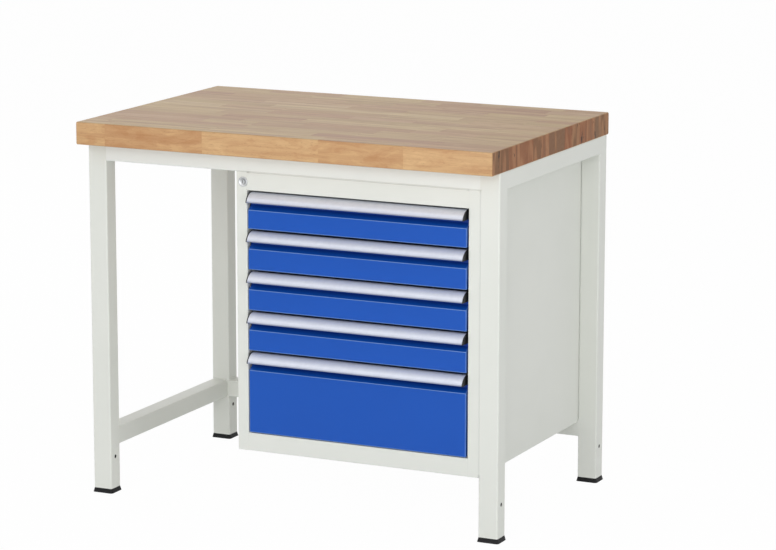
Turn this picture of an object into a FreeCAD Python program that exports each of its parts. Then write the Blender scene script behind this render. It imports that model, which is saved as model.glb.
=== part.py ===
"""Workshop bench with a beech top, a welded tube frame and a five-drawer cabinet.

Millimetres. +X runs along the bench, +Y towards its back, +Z up. The origin lies on the floor
under the middle of the benchtop. The cabinet hangs under the top at the right-hand end.
"""
import FreeCAD, Part
import math
import os

os.makedirs("parts", exist_ok=True)

# ---- Bench ----
bench_width = 1000.0
bench_depth = 650.0
bench_height = 850.0
benchtop_thickness = 50.0
benchtop_edge_chamfer = 2.0

# ---- Frame: legs of flat-sided tube, rails and stretchers of square tube ----
leg_width = 45.0
tube_size = 40.0
tube_wall = 2.0
tube_corner_radius = 3.0
frame_side_inset = 3.0
frame_front_inset = 47.0
frame_rear_inset = 3.0
stretcher_underside = 105.0
anchor_hole_diameter = 9.0
anchor_hole_height = 82.0

# ---- Foot caps ----
foot_height = 10.0
foot_flare = 3.0
foot_plug_length = 25.0
foot_plug_wall = 3.0
foot_plug_clearance = 0.2
foot_rib_thickness = 2.5

# ---- Screws that hold the benchtop down on the rails ----
screw_shank_diameter = 6.0
screw_head_across_flats = 10.0
screw_head_height = 4.0
screw_grip_in_wood = 28.0
screw_hole_clearance = 0.25
screw_access_diameter = 15.0
screw_spacing = 600.0

# ---- Cabinet body of folded sheet ----
sheet = 1.2
bend_radius = 0.8
cabinet_width = 578.0
cabinet_side_gap = 0.3
cabinet_rail_gap = 0.5
cabinet_rear_gap = 0.4
stile_width = 26.0
stile_depth = 27.0
fascia_height = 39.5
sill_height = 40.0
rear_flange = 14.0
post_depth = 30.0

# ---- Hangers that carry the cabinet, and their bolts ----
hanger_width = 30.0
hanger_wall = 2.0
hanger_top_clearance = 0.3
hanger_inset = 66.0
bolt_diameter = 8.0
bolt_hole_clearance = 0.3
bolt_head_across_flats = 13.0
bolt_head_height = 5.3
nut_height = 6.5
bolt_spare_thread = 3.0
bolt_end_inset = 60.0

# ---- Drawers ----
first_drawer_height = 86.0
small_drawer_height = 90.0
large_drawer_height = 184.0
small_drawer_count = 3
front_side_gap = 1.75
front_bottom_gap = 1.5
front_top_gap = 2.0
recess_height = 41.0
recess_depth = 14.5
recess_slope_rise = 10.0
front_return = 20.0
tray_sheet = 1.0
tray_rear_setback = 6.3
tray_floor_gap = 5.0
tray_top_gap = 15.0
tray_hem_height = 8.0
tray_rear_drop = 6.0

# ---- Handle hood along the top of each front ----
handle_height = 22.5
handle_reach = 17.0
handle_top_setback = 11.0
handle_wall = 1.8
handle_web = 2.0
handle_flange_height = 20.0
handle_lip_radius = 1.5
handle_cap_thickness = 3.2
handle_cap_rim = 0.8

# ---- Telescopic slides ----
slide_rear_gap = 35.2
slide_height = 36.0
slide_thickness = 12.7
slide_wall = 1.2
slide_gap = 0.3
slide_front_setback = 22.0
slide_axis_height = 28.0
outer_flange_width = 9.0
middle_flange_width = 9.5
member_end_setback = 2.0

# ---- Cylinder lock and locking bar ----
lock_inset = 16.7
lock_drop = 21.0
lock_flange_diameter = 22.0
lock_flange_thickness = 2.0
lock_flange_edge = 0.8
lock_body_diameter = 14.0
lock_body_length = 24.0
lock_hole_clearance = 0.2
plug_diameter = 10.0
plug_running_clearance = 0.05
plug_recess_depth = 0.3
plug_tail_length = 0.3
keyhole_width = 1.4
keyhole_height = 7.0
keyhole_depth = 8.0
cam_thickness = 2.0
cam_hub_radius = 6.0
cam_arm_radius = 4.0
cam_pin_offset = 8.0
cam_pin_diameter = 4.0
cam_pin_clearance = 0.4
cam_half_turn = 45.0
bar_width = 20.0
bar_thickness = 3.0
bar_running_gap = 0.3
bar_side_gap = 2.8
bar_top_clearance = 2.0
finger_height = 6.0
finger_rise = 49.0
finger_reach = 10.0
catch_lift = 2.5
catch_height = 10.5
catch_thickness = 2.0
catch_play_gap = 2.0
catch_clearance = 2.0

# ---- Places that follow from the sizes above ----
frame_left = -bench_width / 2 + frame_side_inset
frame_right = bench_width / 2 - frame_side_inset
frame_front = -bench_depth / 2 + frame_front_inset
frame_back = bench_depth / 2 - frame_rear_inset
frame_top = bench_height - benchtop_thickness
inner_left = frame_left + leg_width
inner_right = frame_right - leg_width
inner_front = frame_front + tube_size
inner_back = frame_back - tube_size
rail_underside = frame_top - tube_size
leg_centres_x = (frame_left + leg_width / 2, frame_right - leg_width / 2)
leg_centres_y = (frame_front + tube_size / 2, frame_back - tube_size / 2)
side_rail_centres = (frame_left + tube_size / 2, frame_right - tube_size / 2)

cabinet_right = inner_right - cabinet_side_gap
cabinet_left = cabinet_right - cabinet_width
cabinet_middle = (cabinet_left + cabinet_right) / 2
cabinet_front = frame_front
cabinet_back = inner_back - cabinet_rear_gap
cabinet_top = rail_underside - cabinet_rail_gap
opening_left = cabinet_left + stile_width
opening_right = cabinet_right - stile_width
opening_top = cabinet_top - fascia_height
small_heights = [small_drawer_height] * small_drawer_count
drawer_heights = [first_drawer_height, *small_heights, large_drawer_height]
opening_bottom = opening_top - sum(drawer_heights)
cabinet_bottom = opening_bottom - sill_height
stile_back = cabinet_front + stile_depth
back_panel_inside = cabinet_back - 2 * sheet

bar_front = stile_back + bar_running_gap
bar_back = bar_front + bar_thickness
bar_left = cabinet_left + sheet + bar_side_gap
bar_right = bar_left + bar_width
front_post_front = bar_back + bar_running_gap
slide_front = cabinet_front + slide_front_setback
slide_back = back_panel_inside - slide_rear_gap
rear_post_front = slide_back - post_depth
lock_x = cabinet_left + lock_inset
lock_z = cabinet_top - lock_drop

X_AXIS = FreeCAD.Vector(1, 0, 0)
Y_AXIS = FreeCAD.Vector(0, 1, 0)
Z_AXIS = FreeCAD.Vector(0, 0, 1)


# ---- Shared shapes ----
def box(x_low, x_high, y_low, y_high, z_low, z_high):
    """A block between two corners."""
    corner = FreeCAD.Vector(x_low, y_low, z_low)
    return Part.makeBox(x_high - x_low, y_high - y_low, z_high - z_low, corner)


def rod(centre, direction, diameter, length):
    """A round bar that starts at centre and runs along direction."""
    return Part.makeCylinder(diameter / 2, length, centre, direction)


def in_plane(axis, station, first, second):
    """A point of a cross-section that stands square to axis at station."""
    if axis == X_AXIS:
        return FreeCAD.Vector(station, first, second)
    if axis == Y_AXIS:
        return FreeCAD.Vector(first, station, second)
    return FreeCAD.Vector(first, second, station)


def corner_points(before, corner, after, radius):
    """The two tangent points and the middle of an arc that rounds one corner."""
    inward = (before - corner).normalize()
    outward = (after - corner).normalize()
    half_angle = inward.getAngle(outward) / 2
    reach = radius / math.tan(half_angle)
    bisector = (inward + outward).normalize()
    middle = corner + bisector * (radius / math.sin(half_angle) - radius)
    return corner + inward * reach, middle, corner + outward * reach


def outline(axis, station, corners):
    """A closed wire through (first, second, radius) corners, each rounded by its radius."""
    points = [in_plane(axis, station, first, second) for first, second, radius in corners]
    edges = []
    first_start = None
    last_end = None
    for index, point in enumerate(points):
        radius = corners[index][2]
        if radius > 0:
            after = points[(index + 1) % len(points)]
            start, middle, end = corner_points(points[index - 1], point, after, radius)
        else:
            start = middle = end = point
        if last_end is not None:
            edges.append(Part.LineSegment(last_end, start).toShape())
        if radius > 0:
            edges.append(Part.Arc(start, middle, end).toShape())
        if first_start is None:
            first_start = start
        last_end = end
    edges.append(Part.LineSegment(last_end, first_start).toShape())
    return Part.Wire(edges)


def prism(axis, start, end, corners):
    """A rounded outline carried straight along axis from start to end."""
    face = Part.Face(outline(axis, start, corners))
    return face.extrude(axis * (end - start))


def folded(path, thickness, inside_radius):
    """Corners of a folded sheet. path is its outer face; the metal lies to the left of it.

    An inside_radius of zero leaves the bends sharp, for small channels and hidden folds.
    """
    outside_radius = inside_radius + thickness if inside_radius > 0 else 0.0
    steps = []
    for here, there in zip(path[:-1], path[1:]):
        length = math.hypot(there[0] - here[0], there[1] - here[1])
        steps.append(((there[0] - here[0]) / length, (there[1] - here[1]) / length))
    outer = []
    inner = []
    for index, (first, second) in enumerate(path):
        before = steps[max(index - 1, 0)]
        after = steps[min(index, len(steps) - 1)]
        across = 1 + before[0] * after[0] + before[1] * after[1]
        shift_first = -(before[1] + after[1]) * thickness / across
        shift_second = (before[0] + after[0]) * thickness / across
        turn = before[0] * after[1] - before[1] * after[0]
        if index in (0, len(path) - 1):
            outer_radius = inner_radius = 0.0
        elif turn > 0:
            outer_radius = outside_radius
            inner_radius = inside_radius
        else:
            outer_radius = inside_radius
            inner_radius = outside_radius
        outer.append((first, second, outer_radius))
        inner.append((first + shift_first, second + shift_second, inner_radius))
    return outer + inner[::-1]


def hexagon(x, y, z_low, z_high, across_flats):
    """An upright hexagonal screw head, bolt head or nut blank."""
    radius = across_flats / 2 / math.cos(math.pi / 6)
    corners = []
    for step in range(6):
        angle = math.radians(60 * step)
        corners.append((x + radius * math.cos(angle), y + radius * math.sin(angle), 0.0))
    return prism(Z_AXIS, z_low, z_high, corners)


def rectangle(centre, width, depth, radius):
    """Corners of a rounded rectangle round a (first, second) centre."""
    return [(centre[0] + a * width / 2, centre[1] + b * depth / 2, radius)
            for a, b in ((-1, -1), (1, -1), (1, 1), (-1, 1))]


def tube(axis, start, end, centre, width=tube_size):
    """A length of the frame's tube, open at both ends."""
    outside = prism(axis, start, end, rectangle(centre, width, tube_size, tube_corner_radius))
    bore = rectangle(centre, width - 2 * tube_wall, tube_size - 2 * tube_wall, 0.0)
    return outside.cut(prism(axis, start, end, bore))


def mirrored(shape, x_middle):
    """The same shape on the other side of the plane x = x_middle."""
    return shape.mirror(FreeCAD.Vector(x_middle, 0, 0), X_AXIS)


def save(name, *solids):
    """Writes one node."""
    shape = solids[0] if len(solids) == 1 else Part.makeCompound(list(solids))
    shape.exportStep("parts/" + name + ".step")


# ---- Benchtop, and the screws up into it ----
def screw_places():
    """Where the benchtop screws stand, on the centre lines of the top rails."""
    along = [(x, y) for y in leg_centres_y for x in (-screw_spacing / 2, screw_spacing / 2)]
    across = [(x, (frame_front + frame_back) / 2) for x in side_rail_centres]
    return along + across


def benchtop():
    """A thick glued slab with its arrises taken off and pilot holes for the screws."""
    slab = box(-bench_width / 2, bench_width / 2, -bench_depth / 2, bench_depth / 2, frame_top, bench_height)
    slab = slab.makeChamfer(benchtop_edge_chamfer, slab.Edges)
    for x, y in screw_places():
        foot = FreeCAD.Vector(x, y, frame_top)
        slab = slab.cut(rod(foot, Z_AXIS, screw_shank_diameter, screw_grip_in_wood))
    return slab


def benchtop_screw(x, y):
    """A hexagon-head screw whose head bears on the top wall of a rail from inside."""
    bearing = frame_top - tube_wall
    head = hexagon(x, y, bearing - screw_head_height, bearing, screw_head_across_flats)
    shank = rod(FreeCAD.Vector(x, y, bearing), Z_AXIS, screw_shank_diameter, tube_wall + screw_grip_in_wood)
    return head.fuse(shank)


def with_screw_holes(rail, places):
    """Drills a clearance hole in the rail's top wall and an access hole in its bottom wall."""
    hole = screw_shank_diameter + 2 * screw_hole_clearance
    for x, y in places:
        rail = rail.cut(rod(FreeCAD.Vector(x, y, frame_top - tube_size / 2), Z_AXIS, hole, tube_size))
        rail = rail.cut(rod(FreeCAD.Vector(x, y, rail_underside - tube_wall), Z_AXIS,
                            screw_access_diameter, tube_size / 2))
    return rail


# ---- Frame ----
def leg(x, y):
    """An upright tube with an anchor hole through it from side to side."""
    upright = tube(Z_AXIS, foot_height, frame_top, (x, y), leg_width)
    hole_start = FreeCAD.Vector(x - leg_width, y, anchor_hole_height)
    return upright.cut(rod(hole_start, X_AXIS, anchor_hole_diameter, 2 * leg_width))


def long_rail(y):
    """A top rail between two legs, along the bench."""
    rail = tube(X_AXIS, inner_left, inner_right, (y, frame_top - tube_size / 2))
    return with_screw_holes(rail, [place for place in screw_places()[:-2] if place[1] == y])


def side_rail(x):
    """A top rail between a front leg and a rear leg."""
    rail = tube(Y_AXIS, inner_front, inner_back, (x, frame_top - tube_size / 2))
    return with_screw_holes(rail, [place for place in screw_places()[-2:] if place[0] == x])


def foot_cap(x, y):
    """A flared sole with a hollow ribbed plug that is pushed up into the leg."""
    flared = rectangle((x, y), leg_width + 2 * foot_flare, tube_size + 2 * foot_flare,
                       tube_corner_radius + foot_flare)
    sole_wire = outline(Z_AXIS, 0.0, flared)
    top_wire = outline(Z_AXIS, foot_height, rectangle((x, y), leg_width, tube_size, tube_corner_radius))
    sole = Part.makeLoft([sole_wire, top_wire], True, True)
    plug_sides = [side - 2 * (tube_wall + foot_plug_clearance) for side in (leg_width, tube_size)]
    hollow_sides = [side - 2 * foot_plug_wall for side in plug_sides]
    plug_top = foot_height + foot_plug_length
    plug = prism(Z_AXIS, foot_height, plug_top, rectangle((x, y), *plug_sides, 0.0))
    plug = plug.cut(prism(Z_AXIS, foot_height, plug_top, rectangle((x, y), *hollow_sides, 0.0)))
    reach_x, reach_y = [(side + foot_plug_wall) / 2 for side in hollow_sides]
    half_rib = foot_rib_thickness / 2
    rib_along_x = box(x - reach_x, x + reach_x, y - half_rib, y + half_rib, foot_height, plug_top)
    rib_along_y = box(x - half_rib, x + half_rib, y - reach_y, y + reach_y, foot_height, plug_top)
    return sole.fuse([plug, rib_along_x, rib_along_y]).removeSplitter()


# ---- Cabinet body ----
def cabinet_side():
    """The left wall, folded at the front into the stile and at the back into a narrow flange."""
    path = [(cabinet_left + rear_flange, cabinet_back), (cabinet_left, cabinet_back),
            (cabinet_left, cabinet_front), (opening_left, cabinet_front), (opening_left, stile_back)]
    return prism(Z_AXIS, cabinet_bottom, cabinet_top, folded(path, sheet, bend_radius))


def cabinet_side_with_lock_hole():
    """The left wall again, with the round hole that the lock passes through."""
    start = FreeCAD.Vector(lock_x, cabinet_front - sheet, lock_z)
    hole = rod(start, Y_AXIS, lock_body_diameter + 2 * lock_hole_clearance, 3 * sheet)
    return cabinet_side().cut(hole)


def cabinet_fascia():
    """The channel across the front above the drawers."""
    path = [(stile_back, cabinet_top), (cabinet_front, cabinet_top),
            (cabinet_front, opening_top), (stile_back, opening_top)]
    return prism(X_AXIS, opening_left, opening_right, folded(path, sheet, bend_radius))


def cabinet_floor():
    """The bottom sheet with the sill folded up along its front edge."""
    path = [(stile_back, opening_bottom), (cabinet_front, opening_bottom),
            (cabinet_front, cabinet_bottom), (stile_back, cabinet_bottom)]
    sill = prism(X_AXIS, opening_left, opening_right, folded(path, sheet, bend_radius))
    pan = box(cabinet_left + sheet, cabinet_right - sheet, stile_back, back_panel_inside,
              cabinet_bottom, cabinet_bottom + sheet)
    return sill.fuse(pan).removeSplitter()


def bolt_places():
    """Where the cabinet is bolted up to its hangers."""
    sides = (cabinet_left + hanger_inset, cabinet_right - hanger_inset)
    ends = (inner_front + bolt_end_inset, inner_back - bolt_end_inset)
    return [(x, y) for x in sides for y in ends]


def with_bolt_holes(shape):
    """Drills the vertical bolt holes near the top of the cabinet."""
    hole = bolt_diameter + 2 * bolt_hole_clearance
    for x, y in bolt_places():
        start = FreeCAD.Vector(x, y, cabinet_top - 2 * sheet)
        shape = shape.cut(rod(start, Z_AXIS, hole, 2 * sheet + 2 * hanger_wall))
    return shape


def cabinet_roof():
    """The flat top sheet behind the fascia."""
    roof = box(cabinet_left + sheet, cabinet_right - sheet, stile_back, back_panel_inside,
               cabinet_top - sheet, cabinet_top)
    return with_bolt_holes(roof)


def cabinet_rear():
    """The flat back sheet, welded to the rear flanges from inside, clear of their bends."""
    side_gap = sheet + bend_radius
    return box(cabinet_left + side_gap, cabinet_right - side_gap, back_panel_inside, cabinet_back - sheet,
               cabinet_bottom, cabinet_top)


def hanger(x):
    """A channel welded between the front and rear rails. It carries the cabinet."""
    rim = frame_top - hanger_top_clearance
    left = x - hanger_width / 2
    right = x + hanger_width / 2
    path = [(left, rim), (left, cabinet_top), (right, cabinet_top), (right, rim)]
    channel = prism(Y_AXIS, inner_front, inner_back, folded(path, hanger_wall, 0.0))
    return with_bolt_holes(channel)


def cabinet_bolt(x, y):
    """A hexagon bolt up through the roof and the hanger."""
    seat = cabinet_top - sheet
    head = hexagon(x, y, seat - bolt_head_height, seat, bolt_head_across_flats)
    grip = sheet + hanger_wall + nut_height + bolt_spare_thread
    return head.fuse(rod(FreeCAD.Vector(x, y, seat), Z_AXIS, bolt_diameter, grip))


def cabinet_nut(x, y):
    """The nut on top of the hanger's web."""
    low = cabinet_top + hanger_wall
    blank = hexagon(x, y, low, low + nut_height, bolt_head_across_flats)
    return blank.cut(rod(FreeCAD.Vector(x, y, low), Z_AXIS, bolt_diameter, nut_height))


def slide_post(y_front):
    """A channel upright welded to the left wall. The outer slides are screwed to its web."""
    wall = cabinet_left + sheet
    path = [(wall, y_front), (opening_left, y_front),
            (opening_left, y_front + post_depth), (wall, y_front + post_depth)]
    return prism(Z_AXIS, cabinet_bottom + sheet, cabinet_top - sheet, folded(path, sheet, 0.0))


# ---- Lock ----
pin_drop = cam_pin_offset * math.sin(math.radians(cam_half_turn))
bar_travel = 2 * pin_drop


def lock_housing():
    """The lock's bezel and barrel, bored for the plug."""
    front = FreeCAD.Vector(lock_x, cabinet_front - lock_flange_thickness, lock_z)
    bezel = rod(front, Y_AXIS, lock_flange_diameter, lock_flange_thickness)
    rim = [edge for edge in bezel.Edges if edge.BoundBox.YMax < front.y + lock_flange_edge
           and edge.BoundBox.XLength > plug_diameter]
    bezel = bezel.makeChamfer(lock_flange_edge, rim)
    barrel = rod(FreeCAD.Vector(lock_x, cabinet_front, lock_z), Y_AXIS, lock_body_diameter, lock_body_length)
    bore = rod(front, Y_AXIS, plug_diameter, lock_flange_thickness + lock_body_length)
    return bezel.fuse(barrel).cut(bore)


def lock_plug():
    """The turning plug with its keyhole."""
    start = FreeCAD.Vector(lock_x, cabinet_front - lock_flange_thickness + plug_recess_depth, lock_z)
    length = lock_flange_thickness - plug_recess_depth + lock_body_length + plug_tail_length
    plug = rod(start, Y_AXIS, plug_diameter - 2 * plug_running_clearance, length)
    keyhole = box(lock_x - keyhole_width / 2, lock_x + keyhole_width / 2, start.y, start.y + keyhole_depth,
                  lock_z - keyhole_height / 2, lock_z + keyhole_height / 2)
    return plug.cut(keyhole)


def lock_cam():
    """The cam plate on the plug's tail, with the pin that lifts the bar."""
    front = cabinet_front + lock_body_length + plug_tail_length
    pin_x = lock_x - cam_pin_offset * math.cos(math.radians(cam_half_turn))
    pin_z = lock_z - pin_drop
    hub = rod(FreeCAD.Vector(lock_x, front, lock_z), Y_AXIS, 2 * cam_hub_radius, cam_thickness)
    tip = rod(FreeCAD.Vector(pin_x, front, pin_z), Y_AXIS, 2 * cam_arm_radius, cam_thickness)
    arm = box(-cam_pin_offset, 0.0, 0.0, cam_thickness, -cam_arm_radius, cam_arm_radius)
    arm.rotate(FreeCAD.Vector(0, 0, 0), Y_AXIS, -cam_half_turn)
    arm.translate(FreeCAD.Vector(lock_x, front, lock_z))
    pin_start = FreeCAD.Vector(pin_x, front + cam_thickness, pin_z)
    pin = rod(pin_start, Y_AXIS, cam_pin_diameter, bar_back - bar_running_gap - pin_start.y)
    return hub.fuse([tip, arm, pin]).removeSplitter()


def locking_bar():
    """The bar behind the left stile, with one finger for each drawer and a slot for the cam pin."""
    foot = cabinet_bottom + sheet + bar_running_gap
    head = cabinet_top - sheet - bar_travel - bar_top_clearance
    bar = box(bar_left, bar_right, bar_front, bar_back, foot, head)
    fingers = [box(bar_right, opening_left + finger_reach, bar_front, bar_back, low, low + finger_height)
               for low in (bottom + finger_rise for bottom, top in drawer_cells())]
    slot_half = cam_pin_diameter / 2 + cam_pin_clearance
    slot_left = lock_x - cam_pin_offset - slot_half
    slot_right = lock_x - cam_pin_offset * math.cos(math.radians(cam_half_turn)) + slot_half
    slot_z = lock_z - pin_drop
    slot = box(slot_left, slot_right, bar_front, bar_back, slot_z - slot_half, slot_z + slot_half)
    return bar.fuse(fingers).cut(slot).removeSplitter()


# ---- Drawers ----
def drawer_cells():
    """The lowest and highest level of each drawer's share of the opening, from the top down."""
    cells = []
    top = opening_top
    for pitch in drawer_heights:
        cells.append((top - pitch, top))
        top -= pitch
    return cells


front_left = opening_left + front_side_gap
front_right = opening_right - front_side_gap
recess_face = cabinet_front + recess_depth
tray_front = recess_face + sheet
tray_back = slide_back - tray_rear_setback
tray_left = opening_left + slide_thickness
tray_right = opening_right - slide_thickness


def drawer_front(bottom, top):
    """A sheet front, flat below and set back along its top behind the handle, with closed ends."""
    low = bottom + front_bottom_gap
    high = top - front_top_gap
    bend = high - recess_height
    ledge = bend + recess_slope_rise
    path = [(cabinet_front + front_return, high), (recess_face, high), (recess_face, ledge),
            (cabinet_front, bend), (cabinet_front, low), (cabinet_front + front_return, low)]
    skin = prism(X_AXIS, front_left, front_right, folded(path, sheet, bend_radius))
    soft = bend_radius + sheet
    back = cabinet_front + front_return
    side = [(recess_face, high, soft), (recess_face, ledge, bend_radius), (cabinet_front, bend, soft),
            (cabinet_front, low, soft), (back, low, 0.0), (back, high, 0.0)]
    end = prism(X_AXIS, front_left, front_left + sheet, side)
    return skin.fuse([end, mirrored(end, cabinet_middle)]).removeSplitter()


def drawer_tray(bottom, top):
    """A folded sheet box with hemmed rims and, on the left, the catch for the locking bar."""
    floor = bottom + tray_floor_gap
    rim = top - tray_top_gap
    path = [(tray_left, rim), (tray_left, floor), (tray_right, floor), (tray_right, rim)]
    tray = prism(Y_AXIS, tray_front, tray_back, folded(path, tray_sheet, 0.0))
    hem = box(tray_left + tray_sheet, tray_left + 2 * tray_sheet, tray_front, tray_back,
              rim - tray_hem_height, rim)
    front = box(tray_left, tray_right, tray_front, tray_front + tray_sheet, floor, rim)
    rear = box(tray_left, tray_right, tray_back - tray_sheet, tray_back, floor, rim - tray_rear_drop)
    catch_front = bar_back + catch_play_gap
    catch_low = bottom + finger_rise + finger_height + catch_lift
    catch = box(opening_left + catch_clearance, tray_left, catch_front, catch_front + catch_thickness,
                catch_low, catch_low + catch_height)
    return tray.fuse([hem, mirrored(hem, cabinet_middle), front, rear, catch]).removeSplitter()


def hood_arc(top, rim=0.0):
    """The arc of the hood's outer face, level at its top edge and steep at the lip, rim mm further out."""
    start_y = cabinet_front + handle_top_setback
    run = start_y - (cabinet_front - handle_reach + handle_lip_radius / 2)
    drop = handle_height - handle_lip_radius
    radius = math.hypot(run, drop) / (2 * math.sin(math.atan2(drop, run)))
    centre_z = top - radius
    grown = (radius + rim) / radius
    end = (start_y - run * grown, centre_z + (radius - drop) * grown)
    return (start_y, top + rim), end, (start_y, centre_z), radius + rim


def arc_between(station, start, end, centre, radius):
    """An arc of the hood in the plane x = station."""
    middle_first = (start[0] + end[0]) / 2 - centre[0]
    middle_second = (start[1] + end[1]) / 2 - centre[1]
    scale = radius / math.hypot(middle_first, middle_second)
    middle = (centre[0] + middle_first * scale, centre[1] + middle_second * scale)
    points = [FreeCAD.Vector(station, first, second) for first, second in (start, middle, end)]
    return Part.Arc(*points).toShape()


def polyline(station, points):
    """Straight edges through (y, z) points in the plane x = station."""
    vectors = [FreeCAD.Vector(station, y, z) for y, z in points]
    return [Part.LineSegment(here, there).toShape() for here, there in zip(vectors[:-1], vectors[1:])]


def handle(top):
    """An aluminium hood that the fingers reach up behind, with a flange on the front's recess."""
    left = front_left + handle_cap_thickness
    right = front_right - handle_cap_thickness
    start, end, centre, radius = hood_arc(top)
    inner_radius = radius - handle_wall
    shrink = inner_radius / radius
    inner_end = (centre[0] + (end[0] - centre[0]) * shrink, centre[1] + (end[1] - centre[1]) * shrink)
    web_low = top - handle_web
    inner_start = (centre[0] - math.sqrt(inner_radius ** 2 - (web_low - centre[1]) ** 2), web_low)
    flange_low = top - handle_flange_height
    flange_front = recess_face - handle_web
    edges = [arc_between(left, start, end, centre, radius)]
    edges += polyline(left, [end, inner_end])
    edges.append(arc_between(left, inner_end, inner_start, centre, inner_radius))
    edges += polyline(left, [inner_start, (flange_front, web_low), (flange_front, flange_low),
                             (recess_face, flange_low), (recess_face, top), start])
    hood = Part.Face(Part.Wire(edges)).extrude(X_AXIS * (right - left))
    lip_y = (end[0] + inner_end[0]) / 2
    lip_z = (end[1] + inner_end[1]) / 2
    lip = rod(FreeCAD.Vector(left, lip_y, lip_z), X_AXIS, 2 * handle_lip_radius, right - left)
    return hood.fuse(lip).removeSplitter()


def handle_cap(top):
    """The plastic plate that closes the left end of the hood and stands a little proud of it."""
    start, end, centre, radius = hood_arc(top, handle_cap_rim)
    low = top - handle_height - handle_cap_rim
    back = recess_face - handle_web
    edges = [arc_between(front_left, start, end, centre, radius)]
    edges += polyline(front_left, [end, (end[0], low), (back, low), (back, top - handle_web),
                                   (recess_face, top - handle_web), (recess_face, start[1]), start])
    return Part.Face(Part.Wire(edges)).extrude(X_AXIS * handle_cap_thickness)


# ---- Slides ----
def slide_outer(axis_height):
    """The fixed member, a channel with its web on the posts."""
    half = slide_height / 2
    lip = opening_left + outer_flange_width
    path = [(lip, axis_height + half), (opening_left, axis_height + half),
            (opening_left, axis_height - half), (lip, axis_height - half)]
    return prism(Y_AXIS, slide_front, slide_back, folded(path, slide_wall, 0.0))


def slide_middle(axis_height):
    """The travelling member, which runs inside the outer one."""
    half = slide_height / 2 - slide_wall - slide_gap
    web = opening_left + slide_wall + slide_gap
    lip = web + middle_flange_width
    path = [(lip, axis_height + half), (web, axis_height + half),
            (web, axis_height - half), (lip, axis_height - half)]
    return prism(Y_AXIS, slide_front + member_end_setback, slide_back - member_end_setback,
                 folded(path, slide_wall, 0.0))


def slide_inner(axis_height):
    """The drawer's member. Its web is on the tray and its flanges run inside the middle one."""
    half = slide_height / 2 - 2 * (slide_wall + slide_gap)
    web = tray_left
    lip = opening_left + 2 * (slide_wall + slide_gap)
    path = [(lip, axis_height - half), (web, axis_height - half),
            (web, axis_height + half), (lip, axis_height + half)]
    return prism(Y_AXIS, slide_front + member_end_setback, slide_back - member_end_setback,
                 folded(path, slide_wall, 0.0))


# ---- Write every node ----
for side, leg_x in zip(("left", "right"), leg_centres_x):
    for end_name, leg_y in zip(("front", "rear"), leg_centres_y):
        save("leg_" + end_name + "_" + side, leg(leg_x, leg_y))
save("rail_front", long_rail(leg_centres_y[0]))
save("rail_rear", long_rail(leg_centres_y[1]))
save("rail_left", side_rail(side_rail_centres[0]))
save("rail_right", side_rail(side_rail_centres[1]))
stretcher_z = stretcher_underside + tube_size / 2
save("stretcher_left", tube(Y_AXIS, inner_front, inner_back, (side_rail_centres[0], stretcher_z)))
save("stretcher_rear", tube(X_AXIS, inner_left, inner_right, (leg_centres_y[1], stretcher_z)))
save("foot_caps", *[foot_cap(x, y) for x in leg_centres_x for y in leg_centres_y])
save("benchtop", benchtop())
save("benchtop_screws", *[benchtop_screw(x, y) for x, y in screw_places()])

save("cabinet_side_left", cabinet_side_with_lock_hole())
save("cabinet_side_right", mirrored(cabinet_side(), cabinet_middle))
save("cabinet_fascia", cabinet_fascia())
save("cabinet_floor", cabinet_floor())
save("cabinet_roof", cabinet_roof())
save("cabinet_rear", cabinet_rear())
save("cabinet_hangers", hanger(cabinet_left + hanger_inset), hanger(cabinet_right - hanger_inset))
save("cabinet_bolts", *[make(x, y) for make in (cabinet_bolt, cabinet_nut) for x, y in bolt_places()])
left_posts = [slide_post(front_post_front), slide_post(rear_post_front)]
save("slide_posts", *left_posts, *[mirrored(post, cabinet_middle) for post in left_posts])
save("lock_housing", lock_housing())
save("lock_plug", lock_plug(), lock_cam())
save("locking_bar", locking_bar())

for number, (cell_bottom, cell_top) in enumerate(drawer_cells(), start=1):
    name = "drawer_" + str(number) + "_"
    handle_top = cell_top - front_top_gap
    axis_height = cell_bottom + slide_axis_height
    save(name + "front", drawer_front(cell_bottom, cell_top))
    save(name + "tray", drawer_tray(cell_bottom, cell_top))
    save(name + "handle", handle(handle_top))
    left_cap = handle_cap(handle_top)
    save(name + "handle_caps", left_cap, mirrored(left_cap, cabinet_middle))
    for member, make in (("outer", slide_outer), ("middle", slide_middle), ("inner", slide_inner)):
        left_member = make(axis_height)
        save(name + "slide_" + member, left_member, mirrored(left_member, cabinet_middle))
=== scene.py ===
"""Finishes and fine detail of a workshop bench: a welded steel frame with a beech top and a hanging cabinet
of five drawers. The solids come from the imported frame. Lengths are in metres, in the frame's own axes."""

import math

import bpy
import numpy as np
from mathutils import Matrix, Vector


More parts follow.
